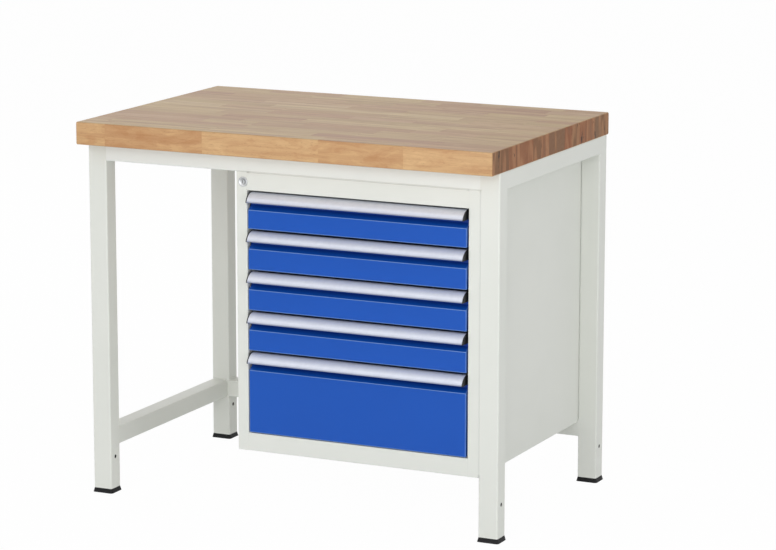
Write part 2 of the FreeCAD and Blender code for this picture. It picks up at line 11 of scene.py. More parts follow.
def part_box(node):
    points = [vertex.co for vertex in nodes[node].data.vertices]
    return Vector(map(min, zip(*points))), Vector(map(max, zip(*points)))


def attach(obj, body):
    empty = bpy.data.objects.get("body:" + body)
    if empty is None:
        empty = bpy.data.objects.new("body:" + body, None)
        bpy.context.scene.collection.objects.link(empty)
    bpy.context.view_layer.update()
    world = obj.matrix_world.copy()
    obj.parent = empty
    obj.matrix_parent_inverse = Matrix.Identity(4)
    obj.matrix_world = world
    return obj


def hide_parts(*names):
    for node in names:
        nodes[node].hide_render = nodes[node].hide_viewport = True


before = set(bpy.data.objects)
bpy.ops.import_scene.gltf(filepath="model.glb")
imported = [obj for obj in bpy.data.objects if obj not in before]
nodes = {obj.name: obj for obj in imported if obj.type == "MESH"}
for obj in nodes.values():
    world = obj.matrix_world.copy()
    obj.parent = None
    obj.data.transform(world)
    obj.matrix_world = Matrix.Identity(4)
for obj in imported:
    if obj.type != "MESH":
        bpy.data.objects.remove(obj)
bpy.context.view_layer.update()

# ---------------------------------------------------------------------------------------------------------
# Legs, top rails and low stretchers: flat-sided steel tube, 45 by 40 mm in the legs and 40 mm square in the
# rest, welded, ground flush where it shows and powder-coated light grey as one frame. Small fillet beads are
# left in the inside corners. The coat has a faint orange peel.
# ---------------------------------------------------------------------------------------------------------


class Tone:
    """A value that varies over a finish. It wraps one socket, and sums written with it add Math nodes."""

    def __init__(self, finish, socket):
        self.finish, self.socket = finish, socket

    def __getitem__(self, output):
        return Tone(self.finish, self.socket.node.outputs[output])

    def math(self, operation, *values):
        return self.finish.node("Math", {"operation": operation}, dict(enumerate((self, *values))))

    def __add__(self, other):
        return self.math("ADD", other)

    def __sub__(self, other):
        return self.math("SUBTRACT", other)

    def __rsub__(self, other):
        return self * -1.0 + other

    def __mul__(self, other):
        return self.math("MULTIPLY", other)

    __radd__, __rmul__ = __add__, __mul__

    def size(self):
        return self.math("ABSOLUTE")

    def larger(self, other):
        return self.math("MAXIMUM", other)

    def root(self):
        return self.math("SQRT")

    def fraction(self):
        return self.math("FRACT")

    def between(self, low, high):
        """0 at or below low, 1 at or above high, smooth between. With low the larger, it falls instead."""
        return self.finish.node(
            "MapRange",
            {"interpolation_type": "SMOOTHSTEP"},
            {"Value": self, "From Min": low, "From Max": high},
        )


class Finish:
    """A finish in the making, for a material or the world. node() adds every node, and surface() ends it."""

    def __init__(self, owner):
        self.owner = bpy.data.materials.new(owner) if isinstance(owner, str) else owner
        self.owner.use_nodes = True
        self.tree = self.owner.node_tree
        self.tree.nodes.clear()

    def node(self, kind, settings, sockets, output=0):
        """Adds one node: its type, its settings, and a value or link for each socket by name or number."""
        made = self.tree.nodes.new("ShaderNode" + kind)
        for key, value in settings.items():
            if key == "stops":
                while len(made.color_ramp.elements) < len(value):
                    made.color_ramp.elements.new(0.5)
                for element, (place, tint) in zip(made.color_ramp.elements, value):
                    element.position, element.color = place, tint
            else:
                setattr(made, key, value)
        for key, value in sockets.items():
            if isinstance(value, Tone):
                self.tree.links.new(value.socket, made.inputs[key])
            else:
                made.inputs[key].default_value = value
        return Tone(self, made.outputs[output]) if len(made.outputs) else None

    def place(self):
        """Where a point of the piece is, in metres."""
        return self.node("TexCoord", {}, {}, "Object")

    def parts(self, vector):
        """A vector taken apart: its X, Y and Z are read by name."""
        return self.node("SeparateXYZ", {}, {"Vector": vector})

    def drawn(self, name, output):
        """A value or vector that the mesh carries under that name, and 0 where it carries none."""
        return self.node("Attribute", {"attribute_name": name}, {}, output)

    def stretched(self, place, by):
        """The place scaled along each axis, so that a pattern on it is drawn out along the smallest one."""
        return self.node("VectorMath", {"operation": "MULTIPLY"}, {0: place, 1: by})

    def mottle(self, place, scale, detail=2.0, roughness=0.5, distortion=0.0):
        """Cloudy variation from 0 to 1, about one blotch in each 1/scale metres."""
        pattern = {"Scale": scale, "Detail": detail, "Roughness": roughness, "Distortion": distortion}
        return self.node("TexNoise", {}, {"Vector": place, **pattern})

    def mix(self, share, first, second):
        """The first colour with the second over it, by share."""
        return self.node("Mix", {"data_type": "RGBA"}, {0: share, 6: first, 7: second}, 2)

    def bumped(self, height, depth):
        """The normal of a surface whose height, from 0 to 1, stands for that depth in metres."""
        return self.node("Bump", {}, {"Strength": 1.0, "Distance": depth, "Height": height})

    def surface(self, sockets):
        """Ends the finish with a shader whose sockets take these values or links. Gives the material."""
        shader = self.node("BsdfPrincipled", {}, sockets)
        self.node("OutputMaterial", {}, {"Surface": shader})
        return self.owner


def colour(red, green, blue):
    """A display colour, each part 0 to 255, as the linear light that the shaders take: the share over 12.92
    in the darkest tones, and in the others the share plus 0.055, over 1.055, to the power 2.4."""
    parts = np.array([red, green, blue]) / 255
    linear = np.where(parts <= 0.04045, parts / 12.92, ((parts + 0.055) / 1.055) ** 2.4)
    return (*(float(part) for part in linear), 1.0)


front_leg, rear_leg = (np.array(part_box(name)) for name in ("leg_front_right", "leg_rear_right"))
leg_half_x, leg_half_y, _ = (front_leg[1] - front_leg[0]) / 2
leg_from_middle_x = front_leg.mean(0)[0]
legs_middle_y = (front_leg.mean(0)[1] + rear_leg.mean(0)[1]) / 2
leg_from_middle_y = rear_leg.mean(0)[1] - legs_middle_y
# Depths below a leg's outer face: the coat in a hole is whole down to the first, and ends at the second.
coat_whole, coat_end = 0.0007, 0.0013


def powder_coat(
    name, main, shadow, rough_low, rough_high, peel=0.00003, shine=0.35, highlight_tone=None, shade_tone=None, bare_inside_shade=None
):
    """Baked powder coat: the main colour with wide soft drifts of the shadow colour, tiny specks, and a peel
    of rounded bumps 2 mm apart on a finer grit. Where the mesh marks a fold, painted shade darkens it
    towards the shade tone and roughens it, and where it marks a bend, a painted highlight draws it towards
    the highlight tone and it shines more. It ends just inside the legs' anchor holes, and past them the legs
    keep the near-black colour of bare steel, which also stands in as painted shade in the holes."""
    coat = Finish(name)
    place = coat.place()
    drift = coat.mottle(place, 3.5, 3.0).between(0.35, 0.75)
    speck = coat.mottle(place, 1900.0, 1.0).between(0.68, 0.80)
    base = coat.mix(drift * 0.5 + speck * 0.12, main, shadow)
    hand = coat.mottle(place, 14.0, 4.0, 0.6)
    rough = hand * (rough_high - rough_low) + rough_low
    # Painted shade: the fold mark darkens the coat in the drawers' recesses and in the coat furrows.
    if shade_tone:
        fold = coat.drawn("fold", "Fac")
        base = coat.mix(fold, base, shade_tone)
        rough = rough + fold * 0.3
    # Painted highlight: the bend mark lightens the coat along rounded folds and ends.
    if highlight_tone:
        bend = coat.drawn("bend", "Fac")
        base = coat.mix(bend * 0.75, base, highlight_tone)
        rough = rough - bend * 0.08
    # Inside the leg tubes the colour turns near-black: bare steel, and painted shade that darkens the anchor
    # holes.
    if bare_inside_shade:
        spot = coat.parts(place)
        off_x = (spot["X"].size() - leg_from_middle_x).size()
        off_y = ((spot["Y"] - legs_middle_y).size() - leg_from_middle_y).size()
        inside_x = off_x.between(leg_half_x - coat_whole, leg_half_x - coat_end)
        inside_y = off_y.between(leg_half_y - coat_whole, leg_half_y - coat_end)
        base = coat.mix(inside_x * inside_y, base, bare_inside_shade)
    peel_height = coat.mottle(place, 420.0, 2.0) * 0.75 + coat.mottle(place, 1700.0, 1.0) * 0.25
    return coat.surface(
        {
            "Base Color": base,
            "Roughness": rough,
            "Specular IOR Level": shine,
            "Normal": coat.bumped(peel_height, peel),
        }
    )


def wear(material, *names):
    """Puts the material on every slot of these nodes."""
    for name in names:
        for place in nodes[name].material_slots:
            place.material = material


def new_piece(name, points, faces, material, body, smooth=True):
    """A mesh of these points and faces as a piece that rides on the body."""
    mesh = bpy.data.meshes.new(name)
    mesh.from_pydata(points, [], faces)
    mesh.update()
    mesh.shade_smooth() if smooth else mesh.shade_flat()
    mesh.materials.append(material)
    made = bpy.data.objects.new(name, mesh)
    bpy.context.scene.collection.objects.link(made)
    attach(made, body)
    return made


def marked(piece, name, values):
    """Gives each point of the piece a value, or a vector, that its finish can read by name."""
    flat = np.asarray(values, np.float32)
    kind, part = ("FLOAT", "value") if flat.ndim == 1 else ("FLOAT_VECTOR", "vector")
    piece.data.attributes.new(name, kind, "POINT").data.foreach_set(part, flat.ravel())


def grid_quads(rows, columns, rows_close=False, columns_close=False):
    """The corners of each cell in a grid of points, where a point's number is its row times the number of
    columns plus its column. A grid that closes comes round to its first row or column again. Cells that are
    taken in the order of faced_back face the other way."""
    cells = np.indices((rows - 1 + rows_close, columns - 1 + columns_close))
    row, column = (index.ravel() for index in cells)
    next_row, next_column = (row + 1) % rows, (column + 1) % columns
    corners = [(row, column), (row, next_column), (next_row, next_column), (next_row, column)]
    return np.stack([at * columns + across for at, across in corners], 1)


faced_back = [0, 3, 2, 1]


def loft(rings):
    """A closed skin through rings of points, an array of rings, points round and x, y, z. Quads join one
    ring to the next and wrap round, one flat face closes each end, and all are turned to enclose a positive
    volume, which points them outward."""
    count, sides = rings.shape[:2]
    points = rings.reshape(-1, 3)
    quads = grid_quads(count, sides, columns_close=True)
    a, b, c, d = np.moveaxis((points - points.mean(0))[quads], 1, 0)
    volume = np.sum(a * np.cross(b, c)) + np.sum(a * np.cross(c, d))
    first, last = list(range(sides)), list(range(sides * (count - 1), sides * count))
    faces = [*quads.tolist(), first[::-1], last]
    return points, faces if volume > 0 else [face[::-1] for face in faces]


def joined(parts):
    """Several lots of points and faces as one lot, the faces renumbered."""
    starts = np.cumsum([0] + [len(points) for points, _ in parts])
    faces = [[corner + start for corner in face] for start, (_, some) in zip(starts, parts) for face in some]
    return np.concatenate([points for points, _ in parts]), faces


def rounded_outline(width, height, radius, steps=6):
    """Points round a rectangle with rounded corners, and the way out at each: the centre of the corner's arc
    plus the radius times a direction that turns through a quarter circle at each corner."""
    corner = np.repeat(np.arange(4), steps + 1)
    turn = (corner + np.tile(np.linspace(0, 1, steps + 1), 4)) * math.pi / 2
    outward = np.column_stack([np.cos(turn), np.sin(turn)])
    sides = np.array([(1, 1), (-1, 1), (-1, -1), (1, -1)])[corner]
    return sides * (np.array([width, height]) / 2 - radius) + radius * outward, outward


tube_corner = 0.003
grinding_hollow = 0.0001


def ground_weld(tube, along, way):
    """Weld metal in the groove between a tube's end and the rounded corner of the leg it meets, ground
    flush: the tube's own outline carried one corner radius further, drawn in by the grinding hollow times
    the square of the sine of the share of that way."""
    low, high = (np.array(corner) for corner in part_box(tube))
    across = [axis for axis in range(3) if axis != along]
    outline, outward = rounded_outline(*(high - low)[across], tube_corner)
    share = np.linspace(0, 1, 7)
    sink = grinding_hollow * np.sin(math.pi * share) ** 2
    rings = np.empty((len(share), len(outline), 3))
    rings[..., across] = outline - outward * sink[:, None, None] + ((low + high) / 2)[across]
    rings[..., along] = ((high if way > 0 else low)[along] + way * tube_corner * share)[:, None]
    return loft(rings)


bead_size = 0.0028
bead_step = 0.0005
bead_ripple = 0.002
bead_root = 0.0004


def fillet_bead(start, end, first, second):
    """A rippled weld bead in an inside corner from start to end, where first and second lead away along its
    two walls: the corner plus the bead's size times a direction that turns from one wall to the other,
    bulged halfway from a chord to a circle, swollen by a cosine along the bead and drawn in round its ends.
    The last point of each ring lies inside the corner."""
    start, end, first, second = (np.array(vector, float) for vector in (start, end, first, second))
    length = np.linalg.norm(end - start)
    along = np.linspace(0, 1, int(length / bead_step))[:, None, None]
    from_end = (0.5 - abs(along - 0.5)) * length
    swell = 1 + 0.09 * np.cos(2 * math.pi * along * length / bead_ripple)
    drawn_in = np.sqrt(1 - (1 - np.clip(from_end / bead_size, 0.02, 1)) ** 2)
    turn = np.radians(np.linspace(-5, 95, 8))[None, :, None]
    bulge = 0.5 + 0.5 / (abs(np.cos(turn)) + abs(np.sin(turn)))
    skin = bead_size * swell * drawn_in * bulge * (np.cos(turn) * first + np.sin(turn) * second)
    root = np.broadcast_to(-bead_root * (first + second), (len(along), 1, 3))
    return loft(start + along * (end - start) + np.concatenate([skin, root], 1))


def end_beads(tube, along):
    """The beads across a tube's two ends: below it, and on a stretcher above it too. There is none under the
    front rail's right-hand end, where the cabinet hangs close."""
    low, high = (np.array(corner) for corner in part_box(tube))
    edges = [(low[2], -1), (high[2], 1)] if tube.startswith("stretcher") else [(low[2], -1)]
    ways = (-1,) if tube == "rail_front" else (-1, 1)
    beads = []
    for level, up in edges:
        for way in ways:
            start, end, away = np.array([*low[:2], level]), np.array([*high[:2], level]), np.zeros(3)
            start[along] = end[along] = (high if way > 0 else low)[along]
            start[1 - along] += tube_corner
            end[1 - along] -= tube_corner
            away[along] = -way
            beads.append(fillet_bead(start, end, away, (0, 0, up)))
    return beads


frame_rough = 0.36, 0.5
frame_colours = colour(222, 224, 218), colour(215, 218, 211)
# The legs' insides are near-black bare steel, dark enough to serve as painted shade in the anchor holes.
frame_paint = powder_coat("frame_paint", *frame_colours, *frame_rough, bare_inside_shade=colour(34, 32, 30))
wear(frame_paint, *[name for name in nodes if name.startswith(("leg_", "rail_", "stretcher_"))])
# The front rail's coat is painted a shade paler, as painted light that offsets the shadow under the top.
rail_lit_colours = colour(229, 232, 228), colour(224, 227, 223)
rail_lit_paint = powder_coat("frame_paint_under_top", *rail_lit_colours, *frame_rough)
wear(rail_lit_paint, "rail_front")
along_x = "rail_front", "rail_rear", "stretcher_rear"
along_y = "rail_left", "rail_right", "stretcher_left"
tube_runs = [(tube, along) for along, tubes in enumerate((along_x, along_y)) for tube in tubes]
welds = [ground_weld(*run, way) for run in tube_runs for way in (-1, 1)]
new_piece("ground_welds", *joined(welds), frame_paint, "frame")
beads = [bead for run in tube_runs for bead in end_beads(*run)]
bead_points, bead_faces = joined(beads)
new_piece("fillet_beads", bead_points, bead_faces, frame_paint, "frame")

# ---------------------------------------------------------------------------------------------------------
# Foot caps: black polyethylene plugs pressed into the legs, moulded with a fine spark-eroded grain and
# rubbed paler in places round the sole.
# ---------------------------------------------------------------------------------------------------------
moulding = Finish("foot_plastic")
place = moulding.place()
grain = moulding.mottle(place, 1500.0, 2.0, 0.6)
scuff = moulding.mottle(moulding.stretched(place, (1.0, 1.0, 4.0)), 130.0, 4.0, 0.7).between(0.55, 0.72)
sole = moulding.parts(place)["Z"].between(0.006, 0.0005)
foot_plastic = moulding.surface(
    {
        "Base Color": moulding.mix(scuff * sole * 0.4, colour(16, 16, 18), colour(64, 62, 60)),
        "Roughness": grain * 0.15 + 0.5,
        "Specular IOR Level": 0.22,
        "Normal": moulding.bumped(grain, 0.00006),
    }
)
wear(foot_plastic, "foot_caps")

# ---------------------------------------------------------------------------------------------------------
# Benchtop: beech staves 43 mm wide and 50 mm thick, butted end to end in fifteen rows, glued into one slab,
# sanded and oiled. The arrises are broken by a small chamfer, and each stave has its own tone and figure.
# ---------------------------------------------------------------------------------------------------------
top_low, top_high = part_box("benchtop")
stave_rows = 15
stave_width = (top_high.y - top_low.y) / stave_rows
outer_arris = 0.0016
glue_arris = 0.00012
same_place = 0.000001
front_row_joints = (-0.4267, -0.1847, 0.0958, 0.2955)
front_row_tones = (0.5, 0.25, 0.62, 0.35, 0.6)
shortest_stave, longest_stave = 0.12, 0.34
staves_laid = 12
cut_off_at_most = 0.3
shortest_end = 0.05
stave_draw = np.random.default_rng(11)


def row_joints(row):
    """Where the staves of one row butt. The front row has its own joints. In the others, staves of random
    length follow one another from beyond the left end, and none at an end is shorter than 50 mm."""
    if row == 0:
        inner = np.array(front_row_joints)
    else:
        lengths = stave_draw.uniform(shortest_stave, longest_stave, staves_laid)
        inner = top_low.x - stave_draw.uniform(0.0, cut_off_at_most) + np.cumsum(lengths)
        inner = inner[(inner > top_low.x + shortest_end) & (inner < top_high.x - shortest_end)]
    return np.concatenate([[top_low.x], inner, [top_high.x]])


def stave_block(x_low, x_high, y_low, y_high):
    """One stave: a rectangle whose four corners are cut off, carried along X through four rings. The end
    rings are drawn in by the end's arris, but sideways by no more than the side's own. Gives 32 points and
    an end mark, 1 on the sawn ends of the slab."""
    z_low, z_high = top_low.z, top_high.z
    at_edge = (
        y_low <= top_low.y + same_place,
        y_high >= top_high.y - same_place,
        x_low <= top_low.x + same_place,
        x_high >= top_high.x - same_place,
    )
    front, back, left, right = (outer_arris if edge else glue_arris for edge in at_edge)
    ring_x = np.array([x_low, x_low + left, x_high - right, x_high])
    draw_in = np.array([left, 0.0, 0.0, right])[:, None]
    near, far = y_low + front, y_high - back
    across = np.array([near, y_low, y_low, near, far, y_high, y_high, far])
    up_front = [z_low, z_low + front, z_high - front, z_high]
    down_back = [z_high, z_high - back, z_low + back, z_low]
    up = np.array(up_front + down_back)
    draw_side = np.minimum(draw_in, np.repeat([front, back], 4))
    y = across - np.sign(across - (y_low + y_high) / 2) * draw_side
    z = up - np.sign(up - (z_low + z_high) / 2) * draw_in
    is_end = np.array([left == outer_arris, False, False, right == outer_arris], float)
    return np.stack([np.repeat(ring_x[:, None], 8, 1), y, z], 2), np.repeat(is_end, 8)


blocks, ends, characters = [], [], []
for row in range(stave_rows):
    joints = row_joints(row)
    y_low = top_low.y + row * stave_width
    for index, (x_low, x_high) in enumerate(zip(joints[:-1], joints[1:])):
        rings, end = stave_block(x_low, x_high, y_low, y_low + stave_width)
        blocks.append(loft(rings))
        ends.append(end)
        character = stave_draw.uniform(0.0, 1.0, 3)
        if row == 0:
            character[0] = front_row_tones[index]
        characters.append(np.tile(character, (len(end), 1)))

rings_per_metre = 230.0
top_sheen_depth = 0.001, 0.0002


def beech_finish():
    """Oiled beech. Each stave carries three random numbers: the first picks its tone, and all three shift
    its grain. Growth rings are shells about an axis below the slab that leans along the stave, so that they
    run straight on a quarter-cut face, in arches on a flat-cut one, and as arcs on the end. Rays are short
    dark flecks. The top face is mixed towards duller tones, brown or yellow by the stave, as a painted
    sheen.
    The sawn ends are dark, with upright bands and a few checks."""
    wood = Finish("beech")
    place = wood.place()
    character = wood.drawn("character", "Vector")
    end = wood.drawn("sawn_end", "Fac")
    tone = wood.parts(character)
    to_own_grain = {0: character, 1: (7.0, 5.0, 3.0), 2: place}
    shift = wood.node("VectorMath", {"operation": "MULTIPLY_ADD"}, to_own_grain)
    warp = wood.mottle(wood.stretched(shift, (1.0, 14.0, 14.0)), 3.0, 3.0, 0.55)
    spot = wood.parts(place)
    heart_y = (tone["Y"] - 0.5) * 0.5
    heart_below = tone["Z"] * 0.12 + 0.03
    lean = (tone["X"] - 0.5) * 0.12
    off_y = spot["Y"] - heart_y + lean * spot["X"]
    off_z = spot["Z"] - top_low.z + heart_below + warp * 0.03
    rings = ((off_y * off_y + off_z * off_z).root() * rings_per_metre + warp * 3.0).fraction()
    late_wood = rings.between(0.5, 0.92) * rings.between(1.0, 0.94)
    band = wood.mottle(wood.stretched(shift, (0.05, 1.0, 1.0)), 75.0, 2.0, 0.5)
    streak = wood.mottle(wood.stretched(shift, (0.045, 1.0, 1.0)), 264.0, 4.0, 0.6)
    fleck = wood.mottle(wood.stretched(shift, (0.12, 1.0, 1.0)), 1100.0, 1.0).between(0.62, 0.72)
    pore = wood.mottle(wood.stretched(shift, (0.04, 1.0, 1.0)), 2400.0, 1.0).between(0.5, 0.8)
    stave_tones = [
        (0.0, colour(180, 137, 97)),
        (0.2, colour(192, 150, 107)),
        (0.5, colour(202, 163, 118)),
        (0.8, colour(210, 174, 129)),
        (1.0, colour(218, 186, 145)),
    ]
    board = wood.node("ValToRGB", {"stops": stave_tones}, {"Fac": tone["X"]})
    board = wood.mix(tone["Y"].between(0.5, 1.0) * 0.45, board, colour(188, 138, 102))
    board = wood.mix(band.between(0.42, 0.72) * 0.42, board, colour(170, 118, 78))
    figure = wood.mottle(wood.stretched(shift, (0.3, 1.0, 1.0)), 38.0, 3.0, 0.55, 1.4)
    board = wood.mix(figure.between(0.52, 0.7) * 0.3, board, colour(228, 192, 142))
    board = wood.mix(figure.between(0.48, 0.34) * 0.35, board, colour(172, 118, 74))
    board = wood.mix(late_wood * 0.13, board, colour(158, 108, 66))
    board = wood.mix(streak.between(0.45, 0.75) * 0.3, board, colour(172, 122, 82))
    board = wood.mix(fleck * 0.3 + pore * 0.06, board, colour(126, 80, 48))
    # Painted sheen: the top face's colour is drawn towards duller, greyer tones that stand for its
    # reflection.
    upper = spot["Z"].between(*(top_high.z - depth for depth in top_sheen_depth))
    top_sheen = wood.mix(tone["Z"].between(0.2, 0.8), colour(154, 123, 92), colour(178, 166, 115))
    board = wood.mix(upper * 0.45, board, top_sheen)
    flush = wood.mottle(wood.stretched(shift, (0.03, 1.0, 1.0)), 120.0, 2.0, 0.5)
    board = wood.mix(flush.between(0.48, 0.62) * upper * 0.6, board, colour(150, 106, 80))
    sawn = wood.mix(tone["Z"].between(0.3, 0.8) * 0.7, colour(104, 67, 42), colour(134, 70, 40))
    sawn = wood.mix(tone["Y"].between(0.6, 0.8) * 0.4, sawn, colour(150, 104, 70))
    upright = wood.mottle(wood.stretched(shift, (1.0, 1.0, 0.2)), 46.0, 1.0, 0.4, 0.4)
    sawn = wood.mix(upright.between(0.48, 0.62) * 0.6, sawn, colour(166, 118, 84))
    sawn = wood.mix(upright.between(0.46, 0.34) * 0.5, sawn, colour(98, 66, 50))
    board = wood.mix(end * 0.84, board, sawn)
    split = wood.mottle(wood.stretched(shift, (0.2, 1.0, 0.35)), 60.0, 3.0, 0.6)
    check = split.between(0.63, 0.68) * end
    board = wood.mix(check * 0.85, board, colour(40, 26, 22))
    return wood.surface(
        {
            "Base Color": board,
            "Roughness": streak * 0.12 + end * 0.15 + 0.4,
            "Specular IOR Level": 0.3,
            "Normal": wood.bumped(streak * 0.4 + late_wood * 0.2 - fleck * 0.4 - check, 0.00008),
        }
    )


beech = beech_finish()
benchtop = new_piece("benchtop_staves", *joined(blocks), beech, "frame", smooth=False)
marked(benchtop, "character", np.concatenate(characters))
marked(benchtop, "sawn_end", np.concatenate(ends))
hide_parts("benchtop")

# ---------------------------------------------------------------------------------------------------------
# Fixings: zinc-plated steel. Six hexagon-head screws hold the top from below, and four bolts with nuts hang
# the cabinet from its two channels. Clear passivated zinc is bluish grey, mottled and slightly brushed.
# ---------------------------------------------------------------------------------------------------------


def bare_metal(name, bright, dull, rough_low, rough_high, along, line_depth, metallic=1.0, under=None):
    """Bare or plated metal: a crystalline mottle between two tones, and fine lines drawn out along the axis
    whose share in along is the smallest. Where the mesh marks its underside, painted shade gives it a darker
    tone."""
    metal = Finish(name)
    place = metal.place()
    mottle = metal.mottle(place, 90.0, 4.0, 0.6)
    lines = metal.mottle(metal.stretched(place, along), 2600.0, 2.0, 0.55)
    base = metal.mix(mottle.between(0.3, 0.7), bright, dull)
    if under:
        base = metal.mix(metal.drawn("under", "Fac"), base, under)
    return metal.surface(
        {
            "Base Color": base,
            "Metallic": metallic,
            "Roughness": lines * (rough_high - rough_low) + mottle * 0.06 + rough_low,
            "Normal": metal.bumped(lines, line_depth),
        }
    )


zinc_tones = colour(205, 209, 214), colour(184, 190, 197)
zinc = bare_metal("zinc_steel", *zinc_tones, 0.26, 0.44, (1.0, 0.05, 1.0), 0.000006)
wear(zinc, "benchtop_screws", "cabinet_bolts")

# ---------------------------------------------------------------------------------------------------------
# Cabinet: 1.2 mm sheet steel, folded, spot-welded and powder-coated as the frame is. The sides fold into the
# stiles, and two channels hang it from the long rails. Posts inside carry the slides. Where the front sheets
# and the frame meet, the coat bridges the joint and leaves only a shallow furrow, darkened by painted shade.
# ---------------------------------------------------------------------------------------------------------
cabinet_sheets = [name for name in nodes if name.startswith("cabinet_") and name != "cabinet_bolts"]
wear(frame_paint, *cabinet_sheets, "slide_posts")
wall_low, wall_high = (np.array(corner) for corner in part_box("cabinet_side_right"))
fascia_low, fascia_high = (np.array(corner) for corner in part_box("cabinet_fascia"))
front_face = wall_low[1]
sheet_bend = 0.002
coat_back = 0.001
furrow_points, furrow_rings = 17, 60
furrow_wave = 190.0


def furrow(start, end, across, sag, shade_share, inward=(0, 1, 0)):
    """Coat that bridges a joint between two flush faces: a strip from start to end and across from there,
    whose face is sunk inward by the sag times the sixth power of the sine of the share of the way across,
    the sag itself swelling by a sixth in long waves. Its back lies deeper by 1 mm and the sag. The painted
    shade that darkens it goes by the square of the same sine."""
    start, end, across = (np.array(vector, float) for vector in (start, end, across))
    share = np.concatenate([np.linspace(0, 1, furrow_points), [1.0, 0.0]])
    depth = sag * np.sin(math.pi * share) ** 6
    along = np.linspace(0, 1, furrow_rings)[:, None, None]
    wave = 1 + np.sin(along * np.linalg.norm(end - start) * furrow_wave) / 6
    sunk = np.where(np.arange(len(share)) < furrow_points, depth * wave[..., 0], coat_back + sag)
    rings = start + along * (end - start) + share[:, None] * across + sunk[..., None] * np.array(inward)
    return loft(rings), np.tile(shade_share * np.sin(math.pi * share) ** 2, len(along))


# How far the coat sags into each joint, and how much painted shade darkens the joint.
beside_leg = 0.0007, 0.45
over_stile = 0.0016, 1.0
over_fascia = 0.001, 0.5
beside_stile = 0.0003, 0.25
rear_gap = 0.003, 1.0
rear_bridge = 0.0, 0.0
rear_joint = 0.001, 0.3

left_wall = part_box("cabinet_side_left")[0].x
left_stile, right_stile = fascia_low[0], fascia_high[0]
stile_top, rail_edge = wall_high[2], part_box("rail_front")[0].z + tube_corner
bend_line = wall_high[0] - sheet_bend
leg_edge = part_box("leg_front_right")[0].x + tube_corner
leg_joint = (bend_line, front_face, wall_low[2]), (bend_line, front_face, rail_edge)
furrows = [furrow(*leg_joint, (leg_edge - bend_line, 0, 0), *beside_leg)]
for x_low, x_high, low_edge, state in (
    (left_wall, left_stile, stile_top, over_stile),
    (left_stile, right_stile, stile_top - sheet_bend, over_fascia),
    (right_stile, bend_line, stile_top, over_stile),
):
    along_rail = (x_low, front_face, low_edge), (x_high, front_face, low_edge)
    furrows.append(furrow(*along_rail, (0, 0, rail_edge - low_edge), *state))
gap_under_front = 0.0015
opening_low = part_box("drawer_5_front")[0].z - gap_under_front
for x, side in ((left_stile, -1), (right_stile, 1)):
    for low_edge, high_edge in (
        (fascia_low[2] + sheet_bend, stile_top),
        (wall_low[2] + sheet_bend, opening_low - sheet_bend),
    ):
        upright = (x, front_face, low_edge), (x, front_face, high_edge)
        furrows.append(furrow(*upright, (side * sheet_bend, 0, 0), *beside_stile))
rear_edge = wall_high[1] - sheet_bend
rear_leg_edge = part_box("leg_rear_right")[0].y + tube_corner
gap_low, gap_high, bridge_high = 0.0015, 0.0042, 0.011
for low_edge, high_edge, state in (
    (gap_low, gap_high, rear_gap),
    (gap_high, bridge_high, rear_bridge),
    (bridge_high, wall_high[2] - wall_low[2], rear_joint),
):
    foot, head = ((wall_high[0], rear_edge, wall_low[2] + edge) for edge in (low_edge, high_edge))
    furrows.append(furrow(foot, head, (0, rear_leg_edge - rear_edge, 0), *state, (-1, 0, 0)))
# The seams' paint darkens the furrows with painted shade where the mesh marks them.
seam_paint = powder_coat("frame_paint_seams", *frame_colours, *frame_rough, shade_tone=colour(192, 193, 190))
coat_furrows = new_piece("coat_furrows", *joined([lot for lot, _ in furrows]), seam_paint, "frame")
marked(coat_furrows, "fold", np.concatenate([shade_share for _, shade_share in furrows]))

# ---------------------------------------------------------------------------------------------------------
# Telescopic slides: three nested channels of bright zinc-plated strip for each side of each drawer. The
# outer one stays on the posts, the middle one runs half way, and the inner one comes out with the tray.
# ---------------------------------------------------------------------------------------------------------
wear(zinc, *[name for name in nodes if "_slide_" in name])

# ---------------------------------------------------------------------------------------------------------
# Lock: a nickel-plated cylinder in the left stile, whose cam lifts a zinc-plated bar behind the stile. The
# bezel is turned, with a rounded rim and a shallow dish round the plug.
# ---------------------------------------------------------------------------------------------------------
nickel_tones = colour(200, 202, 203), colour(182, 184, 186)
nickel = bare_metal("lock_nickel", *nickel_tones, 0.3, 0.42, (1.0, 1.0, 1.0), 0.000003)


def turned(profile, centre, steps=48):
    """A ring turned about an axis along Y through the centre, from a closed profile of (radius, forward)
    points: the point at angle t is the centre plus the radius times (cosine t, sine t) in X and Z. Its
    first ring meets the last, so no end is left open."""
    angle = np.arange(steps) * 2 * math.pi / steps
    radius, forward = np.array(profile).T
    x = centre[0] + radius * np.cos(angle)[:, None]
    z = centre[2] + radius * np.sin(angle)[:, None]
    y = np.broadcast_to(centre[1] - forward, x.shape)
    quads = grid_quads(steps, len(profile), rows_close=True, columns_close=True)
    return np.stack([x, y, z], 2).reshape(-1, 3), quads[:, faced_back].tolist()


